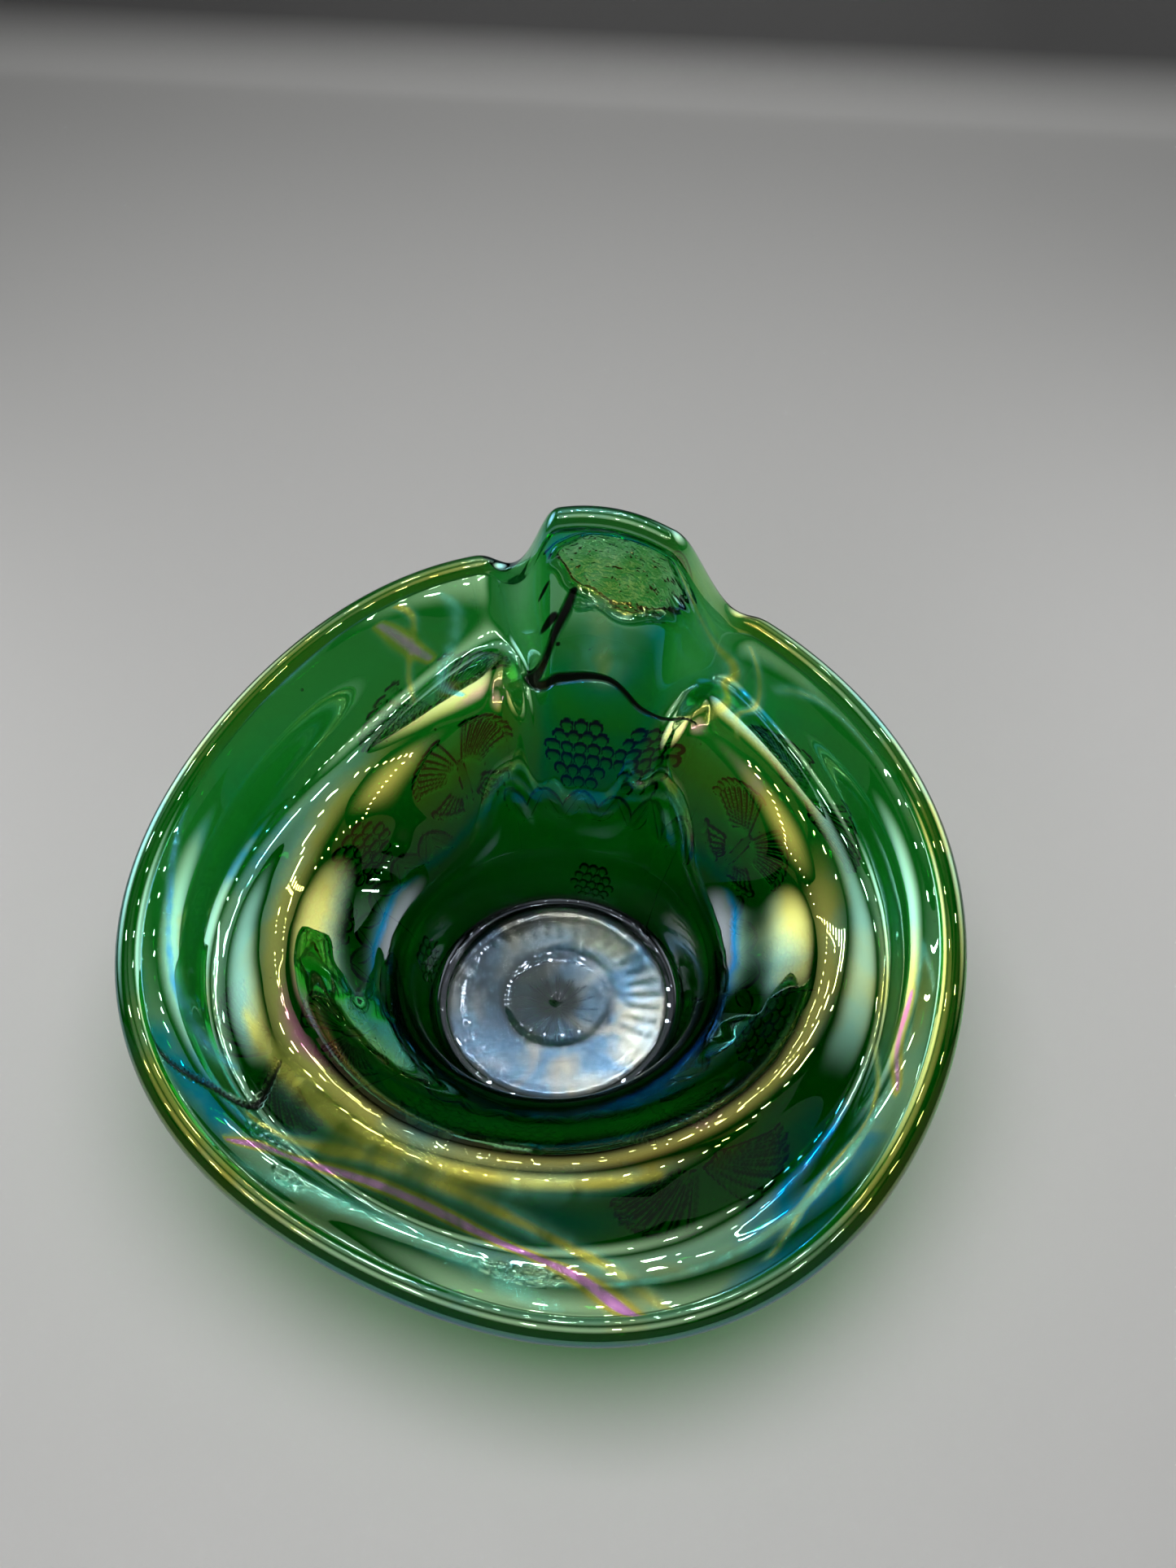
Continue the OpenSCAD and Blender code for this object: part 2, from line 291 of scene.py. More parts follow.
# Streaks of film drawn out as the glass was worked: place in the film's colours, then a path like a fold's
FLOWS = (
    (0.55, ((64, 10, 0.5), (57.5, 9.45, 0.9), (51.5, 8.65, 1.4), (54, 8, 1.1), (50, 7.4, 0.9), (49, 6.8, 0.8),
            (50, 6.2, 0.3))),
    (0.48, ((52, 9.7, 0.4), (47, 8.9, 0.7), (45.5, 8, 0.5), (47, 7, 0.5), (43, 6.5, 0.4))),
    (0.35, ((80, 8.1, 1.5), (79, 7.6, 3.5), (78, 7.1, 4.0), (78, 6.7, 1.5))),
    (0.40, ((44, 9, 0.6), (40, 9.5, 0.9), (33, 9.9, 0.6), (24, 10, 0.3))),
    (0.20, ((112, 9.9, 0.4), (108, 9, 0.8), (112, 8.2, 0.8), (117, 7.4, 0.6), (113, 6.6, 0.4))),
    (0.50, ((119, 10, 0.5), (116, 9.2, 0.6), (121, 8.3, 0.5), (122, 7.5, 0.4))),
    (0.10, ((150, 10.6, 0.6), (140, 10.2, 1.6), (130, 10.5, 1.0), (116, 10.6, 0.4))),
    (0.50, ((217, 8.6, 1.2), (233, 7.3, 1.4), (249, 7.1, 1.6), (265, 7.5, 1.4), (276, 8.2, 1.2),
            (283, 9.4, 0.9), (286, 10.6, 0.3))),
    (0.52, ((200, 7.3, 1.0), (215, 7.0, 2.2), (235, 6.85, 3.2), (258, 6.85, 2.6), (276, 6.9, 1.6),
            (290, 7, 0.6))),
    (0.50, ((300, 9.8, 0.5), (312, 8.9, 0.8), (326, 9.3, 0.6), (336, 8.2, 0.4))),
    (0.30, ((345, 10, 0.5), (356, 9.1, 0.8), (8, 9.4, 0.7), (18, 8.4, 0.4))),
    (0.05, ((168, 10.2, 0.6), (180, 9.4, 1.2), (192, 9.2, 1.6), (204, 8.6, 1.8), (208, 8, 0.6))),
    (1.00, ((219, 9.8, 0.3), (223, 9.0, 1.0), (233.5, 7.8, 1.2), (248.5, 7.6, 1.3), (263.5, 8.1, 1.2),
            (273.5, 8.8, 1.1), (279.5, 9.8, 0.9), (282, 10.9, 0.4))),
    (0.20, ((224, 10.0, 1.2), (236, 9.0, 2.2), (250, 8.8, 2.6), (262, 9.2, 2.2), (270, 10.0, 1.4))),
    (1.00, ((222, 10.7, 0.5), (236, 10.5, 0.8), (250, 10.6, 0.5))),
    (0.90, ((123, 9.6, 0.8), (120, 8.9, 1.4), (116, 8.3, 0.8))),
    (0.90, ((329, 9.6, 0.5), (336, 9, 1.3), (344, 9.2, 0.6))))
# Dark seeds in the neck: (direction, u, half width and half height in mm)
STONES = ((91.5, 7.85, 2.2, 1.7), (92.5, 8.75, 1.3, 1.2), (89.5, 7.3, 0.6, 0.5))
ROUGH_PATCHES = ((222, 8.7, 6, 3.5), (229, 9.4, 3.5, 2.2), (266, 9.1, 9, 2.4))
NECK_MM_A, NECK_MM_U = 0.95, 13.0    # the neck's millimetres to a degree and to a step of u
GRIP_DIR, GRIP_U, GRIP_HALF_W, GRIP_HALF_H = NECK_DIR - 2.5, 9.1, 12.5, 14.0


def crumple(x, y, seed, size):
    """A crumpled field between -1 and 1, from crossing bent waves size mm long."""
    rng = random.Random(seed)
    total = np.zeros_like(x)
    for k in range(8):
        way, wide, shift = rng.uniform(0, math.tau), rng.uniform(0.6, 1.6), rng.uniform(0, math.tau)
        phase = (x * math.cos(way) + y * math.sin(way)) * math.tau / (wide * size) + shift
        total += np.sin(phase + 1.5 * np.sin(phase * 0.43 + k)) * wide
    return np.tanh(total / 4)


def swirl(a, u, seed):
    """Slow unevenness that hot working leaves, between about -1 and 1, the same after a full turn."""
    rng = random.Random(seed)
    total = np.zeros_like(a)
    for _ in range(8):
        waves, rise, shift = rng.randint(1, 8), rng.uniform(-1.2, 1.2), rng.uniform(0, 360)
        total += cosd(waves * a + 57 * rise * u + shift) / (1 + 0.15 * waves)
    return total / 4


def rounded(path, times=3):
    """A path with its corners cut, over and over, until it bends smoothly."""
    path = np.array(path, float)
    for _ in range(times):
        cut = np.stack([mix(path[:-1], path[1:], share) for share in (0.25, 0.75)], 1)
        path = np.concatenate([path[:1], cut.reshape(-1, path.shape[1]), path[-1:]])
    return path


def drawn(a, u, paths, soft=False):
    """How near a place is to the middle of one of a few paths, from 0 to 1."""
    deep = np.zeros_like(a)
    for path in paths:
        middle = path[0][0]
        x, y = turn(a, middle) * NECK_MM_A, u * NECK_MM_U
        near = (np.abs(x) < 90) & (u > 5)
        x, y, found = x[near], y[near], np.zeros(near.sum())
        line = rounded(path) * (NECK_MM_A, NECK_MM_U, 1) - (middle * NECK_MM_A, 0, 0)
        for (x0, y0, w0), (x1, y1, w1) in zip(line, line[1:]):
            dx, dy = x1 - x0, y1 - y0
            along = np.clip(((x - x0) * dx + (y - y0) * dy) / (dx * dx + dy * dy), 0, 1)
            off = np.hypot(x - x0 - along * dx, y - y0 - along * dy)
            off = off / mix(w0, w1, along)
            found = np.maximum(found, np.exp(-(off / 1.6) ** 2) if soft else ease(1.7 - off))
        deep[near] = np.maximum(deep[near], found)
    return deep


def fold_depth(a, u):
    """How deep in a fold a place is, from 0 to 1."""
    return drawn(a, u, (NECK_FOLD, BRIM_FOLD))


def stones(a, u):
    """Dark round seeds trapped in the neck, from 0 to 1."""
    spots = [ease(3 - 2.6 * np.hypot((a - a0) * NECK_MM_A / w, (u - u0) * NECK_MM_U / h))
             for a0, u0, w, h in STONES]
    return np.maximum.reduce(spots)


def stain(a, u):
    """Where dark oxide was folded into the inside of the neck, from 0 to 1."""
    x, y = from_grip(a, u)
    edge = np.exp(-((grip_ring(a, u) - 0.98) / 0.06) ** 2)
    edge = edge * ease((x + 3) / -5) * ease(0.5 + crumple(x, y, 6, 2.5))
    # The folds carry painted shade; the seeds and the line by the grip are dark marks.
    return np.maximum.reduce([fold_depth(a, u), stones(a, u), 0.7 * edge])


def from_grip(a, u):
    """Millimetres across and up from the middle of the grip's oval mark."""
    return turn(a, GRIP_DIR) * NECK_MM_A, (u - GRIP_U) * NECK_MM_U


def grip_ring(a, u):
    """Distance from the middle of the grip's oval mark, 1 at its edge."""
    x, y = from_grip(a, u)
    wobble = 1 + 0.06 * np.sin(3 * np.arctan2(y, x) + 1) + 0.04 * np.sin(7 * np.arctan2(y, x))
    return np.hypot(x / GRIP_HALF_W, y / GRIP_HALF_H) / wobble


def tool_marks(a, u, outside):
    """The grip's crumpled oval, the crease below it, and three rough patches in the brim, in mm."""
    x, y = from_grip(a, u)
    ring = grip_ring(a, u)
    oval = ease((1.06 - ring) / 0.14)
    h = oval * (0.30 * crumple(x, y, 7, 4.2) + 0.1 * crumple(x, y, 9, 1.7) - np.where(outside, 0.7, 1.0))
    h = h + 0.4 * np.exp(-((ring - 1.08) / 0.05) ** 2)
    low = np.exp(-((y + GRIP_HALF_H * 0.92 + 0.12 * x) / 1.1) ** 2) * ease((11 - np.abs(x)) / 3)
    h = h + low * (0.5 + 0.35 * crumple(x, y, 4, 1.6)) * ~outside
    for at_a, at_u, wide, tall in ROUGH_PATCHES:
        x, y = turn(a, at_a) * 1.3, (u - at_u) * 9
        patch = ease((1.15 - np.hypot(x / wide, y / tall)) / 0.45)
        h = h + patch * (0.22 * crumple(x, y, 11, 2.4) - 0.08)
    return h


def relief(a, u, outside):
    """Everything that stands off the smooth form, in mm out of the glass."""
    calm = ease((u - 3.2) / 1.6) * ease((TIP_U - 0.3 - u) / 1.2)
    within = 0.42 * swirl(a, u, 8) + 0.05 * swirl(5 * a, 3.5 * u, 31)
    h = calm * np.where(outside, 0.45 * swirl(a, u, 3), within)
    pressed = outside & (u < 9.5)
    if pressed.any():
        pa, pu = a[pressed], u[pressed]
        h[pressed] += pattern(pa, pu) * ease((9.5 - pu) / 1.5) * ease((pu - 0.3) / 0.4)
    handled = u > 5.5
    if handled.any():
        ha, hu, ho = a[handled], u[handled], outside[handled]
        marks = tool_marks(ha, hu, ho) - np.where(ho, 0.1, 0.5) * fold_depth(ha, hu)
        h[handled] += marks * ease((TIP_U - 0.1 - hu) / 0.5)
    return h


def worked(a, u, outside):
    """The finished surface and its unit normals out of the glass: two (3, n) arrays."""
    outside = np.broadcast_to(outside, a.shape)
    da, du = 0.03, 0.003
    out = np.where(outside, 1, -1)
    along = skin(a + da, u, outside) - skin(a - da, u, outside)
    up = skin(a, u + du, outside) - skin(a, u - du, outside)
    n = np.cross(along, up, axis=0)
    n = out * n / np.linalg.norm(n, axis=0)
    along = along + n * (relief(a + da, u, outside) - relief(a - da, u, outside))
    up = up + n * (relief(a, u + du, outside) - relief(a, u - du, outside))
    normal = out * np.cross(along, up, axis=0)
    return skin(a, u, outside) + n * relief(a, u, outside), normal / np.linalg.norm(normal, axis=0)


def rounded_lip(a, u, side):
    """The bead's surface and its unit normals."""
    da, ds = 0.03, 0.001
    along = bead(a + da, side) - bead(a - da, side)
    down = bead(a, np.minimum(side + ds, 1)) - bead(a, np.maximum(side - ds, 0))
    normal = np.cross(down, along, axis=0)
    return bead(a, side), normal / np.linalg.norm(normal, axis=0)


def film_place(a, u):
    """Where a place stands in the film's run of colours: below 0 bare, 0.2 teal, 0.5 gold, 1 rose."""
    flow = swirl(a, u, 21) + 0.6 * swirl(a + 11 * swirl(a, u, 5), u * 1.9, 22)
    gold = np.exp(-((u - 6.0) / 1.0) ** 2) * (1 - neck_share(a))
    film = 0.21 + 0.27 * flow + 0.42 * gold - 0.7 * ease((4.8 - u) / 1.4) - 0.22 * neck_share(a)
    film = film + 0.3 * ease((1.05 - grip_ring(a, u)) / 0.1)
    film = film + 0.22 * ease((u - 10.4) / 0.5) * (1 - np.exp(-(turn(a, 262) / 30) ** 2))
    for value, path in FLOWS:
        film = mix(film, value, drawn(a, u, [path], soft=True))
    return np.clip(film, -0.5, 1)


def shade(a, u):
    """How dark the pressed pattern looks at a place, from 0 to 1: its upper slopes turn light away."""
    fall = pattern(a, u - 0.02) - pattern(a, u + 0.03)
    return 0.97 * ease((fall - 0.1) / 0.2) * ease((9.5 - u) / 1.5)


# ---------------------------------------------------------------- making pieces

def rows(start, stop, count):
    """Evenly spaced numbers from start to stop, count steps apart."""
    return [start + (stop - start) * k / count for k in range(count + 1)]


def spun(section, span, columns):
    """A closed section, given as (radius, height) pairs, swept about Z and capped where it stops short."""
    bm = bmesh.new()
    bmesh.ops.create_grid(bm, x_segments=columns, y_segments=len(section), size=0.5)
    column, row = np.array([v.co.xy for v in bm.verts], float).T + 0.5
    r, z = np.array(section).T[:, np.round(row * len(section)).astype(int) % len(section)]
    for v, place in zip(bm.verts, around(span * column, r, z).T.tolist()):
        v.co = place
    bmesh.ops.remove_doubles(bm, verts=bm.verts, dist=1e-5)
    bmesh.ops.dissolve_degenerate(bm, edges=bm.edges, dist=1e-6)
    bmesh.ops.delete(bm, geom=[edge for edge in bm.edges if not edge.link_faces], context="EDGES")
    bmesh.ops.holes_fill(bm, edges=[edge for edge in bm.edges if edge.is_boundary], sides=0)
    return bm


def to_object(bm, name, material, fused):
    """A smooth object out of a bmesh, whose fused faces are marked so that they don't show."""
    bmesh.ops.recalc_face_normals(bm, faces=bm.faces)
    if bm.calc_volume(signed=True) < 0:
        bmesh.ops.reverse_faces(bm, faces=bm.faces)
    for face in bm.faces:
        face.smooth = True
    hidden = np.array([fused(face) for face in bm.faces], float)
    mesh = bpy.data.meshes.new(name)
    bm.to_mesh(mesh)
    bm.free()
    mesh.materials.append(material)
    mesh.attributes.new("fused", "FLOAT", "FACE").data.foreach_set("value", hidden)
    obj = bpy.data.objects.new(name, mesh)
    bpy.context.collection.objects.link(obj)
    return obj


def mark(obj, **fields):
    """Stores fields of one number to a vertex, for the material to read."""
    for name, values in fields.items():
        obj.data.attributes.new(name, "FLOAT", "POINT").data.foreach_set("value", values)


def shaped(name, section, start, span, columns, surface, material, crosses):
    """A piece whose section, given as (u, side) pairs, is spun and then moved to surface(a, u, side)."""
    bm = spun([(SPIN_R + u, side) for u, side in section], span, columns)
    raw = np.array([v.co for v in bm.verts], float)
    u, side = np.hypot(raw[:, 0], raw[:, 1]) - SPIN_R, raw[:, 2]
    a = np.degrees(np.arctan2(raw[:, 1], raw[:, 0]))
    a = start + np.where(a < -1e-3, a + 360, a)
    place, normal = surface(a, u, side)
    for v, p in zip(bm.verts, (place * MM).T.tolist()):
        v.co = p
    obj = to_object(bm, name, material, lambda face: crosses([side[v.index] for v in face.verts]))
    mesh = obj.data
    corners = np.array([loop.vertex_index for loop in mesh.loops])
    wanted = normal.T[corners]
    hidden = np.zeros(len(mesh.polygons))
    mesh.attributes["fused"].data.foreach_get("value", hidden)
    for poly in np.array(mesh.polygons)[hidden > 0]:
        wanted[poly.loop_start:poly.loop_start + poly.loop_total] = poly.normal
    mesh.normals_split_custom_set(wanted.tolist())
    # Inside: painted shade in the folds, dark seeds and a dark line by the grip; outside: painted shade on
    # the pattern.
    dark = np.where(side < 0.5, stain(a, u) * (u > 5), 0 if surface is rounded_lip else shade(a, u))
    mark(obj, film=film_place(a, np.clip(u, 0, TIP_U)), stain=dark,
         streak=drawn(a, u, [path for _, path in FLOWS], soft=True) * (side < 0.5))
    return obj


def between_sides(sides):
    """True for a face that runs through the glass from one side to the other."""
    return max(sides) - min(sides) > 0.4


def worked_shell(name, u_inside, u_outside, start, span, columns, material):
    """A stretch of the wall from its inside rows round to its outside rows."""
    section = [(u, 0.0) for u in u_inside] + [(u, 1.0) for u in reversed(u_outside)]
    return shaped(name, section, start, span, columns,
                  lambda a, u, side: worked(a, u, side > 0.5), material, between_sides)


def keep(obj, slot, *nodes):
    """Fixes a piece to the bowl's one body, and says which nodes it stands for."""
    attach(obj, "root")
    if nodes:
        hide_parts(*nodes)


# ---------------------------------------------------------------- shader maths

class Wire:
    """A socket whose arithmetic adds Math nodes."""

    def __init__(self, graph, socket):
        self.graph, self.socket = graph, socket

    def math(self, operation, *values, clamp=False):
        return self.graph.node("ShaderNodeMath", dict(enumerate(values)), operation=operation,
                               use_clamp=clamp)

    def __add__(self, other):
        return self.math("ADD", self, other)

    def __radd__(self, other):
        return self.math("ADD", other, self)

    def __sub__(self, other):
        return self.math("SUBTRACT", self, other)

    def __rsub__(self, other):
        return self.math("SUBTRACT", other, self)

    def __mul__(self, other):
        return self.math("MULTIPLY", self, other)

    def __rmul__(self, other):
        return self.math("MULTIPLY", other, self)

    def __truediv__(self, other):
        return self.math("DIVIDE", self, other)

    def __pow__(self, other):
        return self.math("POWER", self, other)

    def clamped(self):
        return self.math("ADD", self, 0.0, clamp=True)


class Graph:
    """The nodes of one material."""

    def __init__(self, name):
        self.material = bpy.data.materials.new(name)
        self.material.use_nodes = True
        self.tree = self.material.node_tree
        self.tree.nodes.clear()

    def node(self, kind, inputs=None, outlet=0, **settings):
        """Adds a node, sets its inputs to values or wires, and returns one of its outlets."""
        node = self.tree.nodes.new(kind)
        for key, value in settings.items():
            setattr(node, key, value)
        for key, value in (inputs or {}).items():
            if isinstance(value, Wire):
                self.tree.links.new(value.socket, node.inputs[key])
            else:
                node.inputs[key].default_value = value
        return Wire(self, node.outputs[outlet])

    def field(self, name):
        return self.node("ShaderNodeAttribute", outlet=2, attribute_name=name)

    def noise(self, scale, detail=2.0, distortion=0.0):
        at = self.node("ShaderNodeTexCoord", outlet=3)
        return self.node("ShaderNodeTexNoise", {"Vector": at, "Scale": scale, "Detail": detail,
                                                "Distortion": distortion})

    def blend(self, share, first, second):
        """Two colours, mixed."""
        return self.node("ShaderNodeMix", {0: share, 6: first, 7: second}, outlet=2, data_type="RGBA")

    def either(self, share, first, second):
        """Two shaders, mixed."""
        return self.node("ShaderNodeMixShader", {0: share, 1: first, 2: second})

    def finish(self, surface, volume=None):
        out = self.tree.nodes.new("ShaderNodeOutputMaterial")
        self.tree.links.new(surface.socket, out.inputs["Surface"])
        if volume:
            self.tree.links.new(volume.socket, out.inputs["Volume"])
        return self.material


# ---------------------------------------------------------------- materials

GLASS_IOR, FILM_IOR = 1.52, 2.2
BARE_FILM, BLUE_FILM, TEAL_FILM, GOLD_FILM, ROSE_FILM = 20.0, 146.0, 180.0, 200.0, 240.0   # in nm
CLEAR = (1.0, 1.0, 1.0, 1.0)


def rgb(*values):
    return (*values, 1.0)


def settings():
    return bpy.context.scene.bowl


def coated(g, thickness, colour):
    """Clear glass under a thin film of metal oxide."""
    return g.node("ShaderNodeBsdfPrincipled", {
        "Base Color": colour, "Roughness": 0.0, "IOR": GLASS_IOR, "Transmission Weight": 1.0,
        "Thin Film Thickness": thickness, "Thin Film IOR": FILM_IOR})


def body_of_glass(g, surface):
    """Finishes a material as green glass: clear to lamps, soaking up light inside, hidden where fused."""
    shadow = g.node("ShaderNodeLightPath", outlet=1)
    through = g.node("ShaderNodeBsdfTransparent", {"Color": rgb(*settings().shadow)})
    surface = g.either(shadow, surface, through)
    surface = g.either(g.field("fused"), surface, g.node("ShaderNodeBsdfTransparent", {"Color": CLEAR}))
    soak = settings().soak
    volume = g.node("ShaderNodeVolumeAbsorption", {
        "Color": rgb(*[1 - part / max(soak) for part in soak]), "Density": max(soak) / MM})
    return g.finish(surface, volume)


def film_glass(name):
    """Green glass under a film that runs from teal through gold to rose."""
    g = Graph(name)
    fine = g.noise(38.0, 3.0, 2.0)
    film = g.field("film") + (fine - 0.5) * 0.35
    blue, teal = ((film + 0.12) * 8.0).clamped(), (film * 6.0).clamped()
    gold = ((film - 0.30) * 5.0).clamped()
    rose = ((film - 0.66) * 5.0).clamped()
    tint = g.blend(gold, rgb(0.86, 1.0, 0.97), rgb(1.0, 0.98, 0.84))
    surface = g.either(blue, coated(g, BARE_FILM, tint), coated(g, BLUE_FILM, tint))
    surface = g.either(teal, surface, coated(g, TEAL_FILM, tint))
    surface = g.either(gold, surface, coated(g, GOLD_FILM, tint))
    surface = g.either(rose, surface, coated(g, ROSE_FILM, tint))
    hue = g.blend(teal, rgb(0.15, 0.5, 0.95), rgb(0.2, 0.85, 0.65))
    hue = g.blend(rose, g.blend(gold, hue, rgb(0.85, 0.88, 0.15)), rgb(0.9, 0.42, 0.85))
    streak = g.node("ShaderNodeBsdfPrincipled", {"Base Color": hue, "Metallic": 0.5, "Roughness": 0.32})
    surface = g.either(g.field("streak") * (g.noise(60.0, 2.0, 3.0) ** 1.5) * 0.8, surface, streak)
    # Near-black opaque surface: painted shade on the pattern's upper slopes and in the folds, and the dark
    # seeds and line.
    dark = g.node("ShaderNodeBsdfPrincipled", {
        "Base Color": rgb(0.002, 0.004, 0.002), "Roughness": 0.12, "Specular IOR Level": 0.15})
    surface = g.either(g.field("stain"), surface, dark)
    return body_of_glass(g, surface)


def silvered_glass(name):
    """The base: dark glass with a silvery bloom that is blue in places and warm white in others."""
    g = Graph(name)
    cloud = ((g.noise(60.0, 2.0, 1.5) - 0.42) * 4.0).clamped()
    tint = g.blend(cloud, rgb(0.9, 1.0, 0.97), rgb(0.97, 0.98, 1.0))
    sheen = g.node("ShaderNodeBsdfPrincipled", {
        "Base Color": g.blend(cloud, rgb(0.26, 0.50, 0.78), rgb(0.88, 0.90, 0.74)),
        "Metallic": 1.0, "Roughness": 0.2})
    bloom = (g.field("silver") * (0.75 + 0.5 * g.noise(150.0, 3.0, 1.0))).clamped()
    return body_of_glass(g, g.either(bloom, coated(g, BARE_FILM, tint), sheen))


def air(name):
    """The inside of a bubble, which bends light the other way."""
    g = Graph(name)
    return g.finish(g.node("ShaderNodeBsdfPrincipled", {
        "Base Color": CLEAR, "Roughness": 0.0, "IOR": 1 / GLASS_IOR, "Transmission Weight": 1.0}))


def shared(name, maker):
    return bpy.data.materials.get(name) or maker(name)


# ---------------------------------------------------------------- the pieces

def detail(count):
    """A number of rows or columns, fewer while trying things out."""
    return max(8, int(count * settings().detail * (1)))


def make_foot_ring():
    """The ground ring that the bowl stands on."""
    land = [(FLOOR_R, 0.6), (FLOOR_R + 0.3, 0.15), (FLOOR_R + 0.8, 0), (FOOT_R - 1, 0), (FOOT_R - 0.35, 0.2),
            (FOOT_R - 0.05, 0.7), (FOOT_R, 1.2)]
    joint = [(FOOT_R, FOOT_H - 0.01), (FLOOR_R, FOOT_H - 0.01), (FLOOR_R, RECESS)]
    bm = spun(land + joint, 360, detail(240))
    bmesh.ops.scale(bm, vec=(MM, MM, MM), verts=bm.verts)

    def fused(face):
        middle = face.calc_center_median() / MM
        return middle.z > FOOT_H - 0.1 or (middle.z > RECESS and middle.xy.length < FLOOR_R + 0.1)
    obj = to_object(bm, "foot_ring_glass", shared("silvered_glass", silvered_glass), fused)
    mark(obj, silver=np.zeros(len(obj.data.vertices)))
    keep(obj, "base_glass", "foot_ring")


def make_base_disc():
    """The floor of the bowl, with rings and radial flutes above and a pressed star below."""
    edge = FLOOR_R - 0.01
    bm = spun([(edge, RECESS), (edge, FLOOR_Z)]
              + [(r, FLOOR_Z) for r in rows(edge, 0, detail(90))[1:]]
              + [(r, RECESS) for r in rows(0, edge, detail(90))[:-1]], 360, detail(480))
    raw = np.array([v.co for v in bm.verts], float)
    r, a, z = np.hypot(raw[:, 0], raw[:, 1]), np.degrees(np.arctan2(raw[:, 1], raw[:, 0])), raw[:, 2]
    inner = r < edge - 0.01
    upper = z > (FLOOR_Z + RECESS) / 2
    flutes = 0.016 * cosd(36 * a + 40 * sind(3 * a)) * ease((r - 15) / 3) * ease((24.5 - r) / 2)
    rings = 0.10 * np.exp(-((r - 12.5) / 1.4) ** 2) + 0.12 * np.exp(-((r - 23.5) / 0.9) ** 2)
    hollow = -0.9 * ease((edge - 1 - r) / 22)
    star = 0.7 * np.maximum(0, cosd(16 * a)) ** 2 * ease((11 - r) / 4) * ease((r - 0.6) / 2)
    ring_below = 0.4 * np.exp(-((r - 13.5) / 0.6) ** 2)
    dimple = 0.5 * np.exp(-(r / 1.2) ** 2)
    z = z + inner * np.where(upper, hollow + flutes + rings - 0.5 * dimple, -star - ring_below)
    for v, height in zip(bm.verts, z):
        v.co = (v.co.x * MM, v.co.y * MM, height * MM)

    def fused(face):
        middle = face.calc_center_median() / MM
        return middle.xy.length > edge - 0.1 and RECESS + 0.2 < middle.z < FLOOR_Z - 0.2
    obj = to_object(bm, "base_disc_glass", shared("silvered_glass", silvered_glass), fused)
    arms = 0.85 + 0.15 * cosd(22 * r + 3 * a) + 0.06 * cosd(30 * a + 70 * sind(2 * a))
    band = ease((r - 11) / 4) * ease((25 - r) / 1.5) + 0.35 * ease((r - 3) / 5) * ease((12.5 - r) / 1.5)
    mark(obj, silver=upper * inner * arms * band * (0.45 + 0.34 * cosd(a + 20)))
    keep(obj, "base_glass", "base_disc", "base_star")


def make_cup_wall():
    """The turned wall between the foot and the hand-shaped glass."""
    corner_u = -1.0          # a point of the section that stands for the corner under the wall
    section = [(u, 0.0) for u in rows(0, JOINT_U - HAIR_U, detail(40))]
    section += [(u, 1.0) for u in rows(JOINT_U - HAIR_U, 0, detail(96))] + [(corner_u, 0.5)]

    def surface(a, u, side):
        place, normal = worked(a, np.maximum(u, 0), side > 0.5)
        return np.where(u < -0.5, around(a, FLOOR_R, FOOT_H), place), normal
    obj = shaped("cup_wall_glass", section, 0.0, 360, detail(600), surface,
                 shared("film_glass", film_glass), between_sides)
    keep(obj, "wall_glass", "cup_wall", "lower_berries")


def make_brim():
    """The hand-shaped glass on both sides of the neck: the patterned throat and the flared brim."""
    glass = shared("film_glass", film_glass)
    start, span = NECK_TO + HAIR_A, 360 - (NECK_TO - NECK_FROM) - 2 * HAIR_A
    low, high = JOINT_U + HAIR_U, THROAT_U - HAIR_U
    throat = worked_shell("throat_glass", rows(low, high, detail(34)), rows(low, high, detail(92)),
                          start, span, detail(720), glass)
    keep(throat, "brim_glass", "upper_berries", "leaf_band", "butterflies")
    low, swell, high = THROAT_U + HAIR_U, 9.7, TIP_U - HAIR_U
    edge = rows(swell, high, detail(24))[1:]
    inside, outside = (rows(low, swell, detail(count)) + edge for count in (50, 70))
    brim = worked_shell("flared_brim_glass", inside, outside, start, span, detail(560), glass)
    keep(brim, "brim_glass", "flared_brim", "brim_wings")


def make_neck():
    """The neck pulled up at the back, with its folds and the mark of the grip."""
    low, folded, high = JOINT_U + HAIR_U, 5.4, TIP_U - HAIR_U
    inside = rows(low, folded, 10) + rows(folded, high, detail(230))[1:]
    outside = rows(low, folded, detail(80)) + rows(folded, high, detail(100))[1:]
    neck = worked_shell("pulled_neck_glass", inside, outside, NECK_FROM, NECK_TO - NECK_FROM,
                        detail(200), shared("film_glass", film_glass))
    keep(neck, "neck_glass", "pulled_neck", "grip_mark")


def make_lip_bead():
    """The fire-polished edge, all the way round."""
    section = [(TIP_U, side) for side in rows(0, 1, 28)]
    obj = shaped("lip_bead_glass", section, 0.0, 360, detail(720), rounded_lip,
                 shared("film_glass", film_glass), between_sides)
    keep(obj, "bead_glass", "lip_bead")


def make_seed_bubbles():
    """Small bubbles of air trapped in the wall and the brim."""
    rng = random.Random(12)
    bm = bmesh.new()
    for _ in range(settings().bubbles):
        a, u = rng.uniform(0, 360), rng.uniform(3.5, 10.3)
        r = 0.14 + 0.3 * rng.random() ** 4
        pair = np.array([a, a]), np.array([u, u])
        inside, outside = skin(*pair, np.array([False, True])).T
        at = mix(inside, outside, rng.uniform(0.35, 0.65)) * MM
        bmesh.ops.create_icosphere(bm, subdivisions=3, radius=r * MM, matrix=Matrix.Translation(at))
    obj = to_object(bm, "seed_bubbles", shared("air", air), lambda face: False)
    keep(obj, "brim_glass")


# ---------------------------------------------------------------- the stage

BOWL_MIDDLE = Vector((0, 0, 0.03))   # where lamps and cards are aimed
CAMERA_AT, CAMERA_DIP, CAMERA_LENS, CAMERA_SENSOR = (0.007, -0.1414, 0.2394), 48.2, 27.03, 36.0
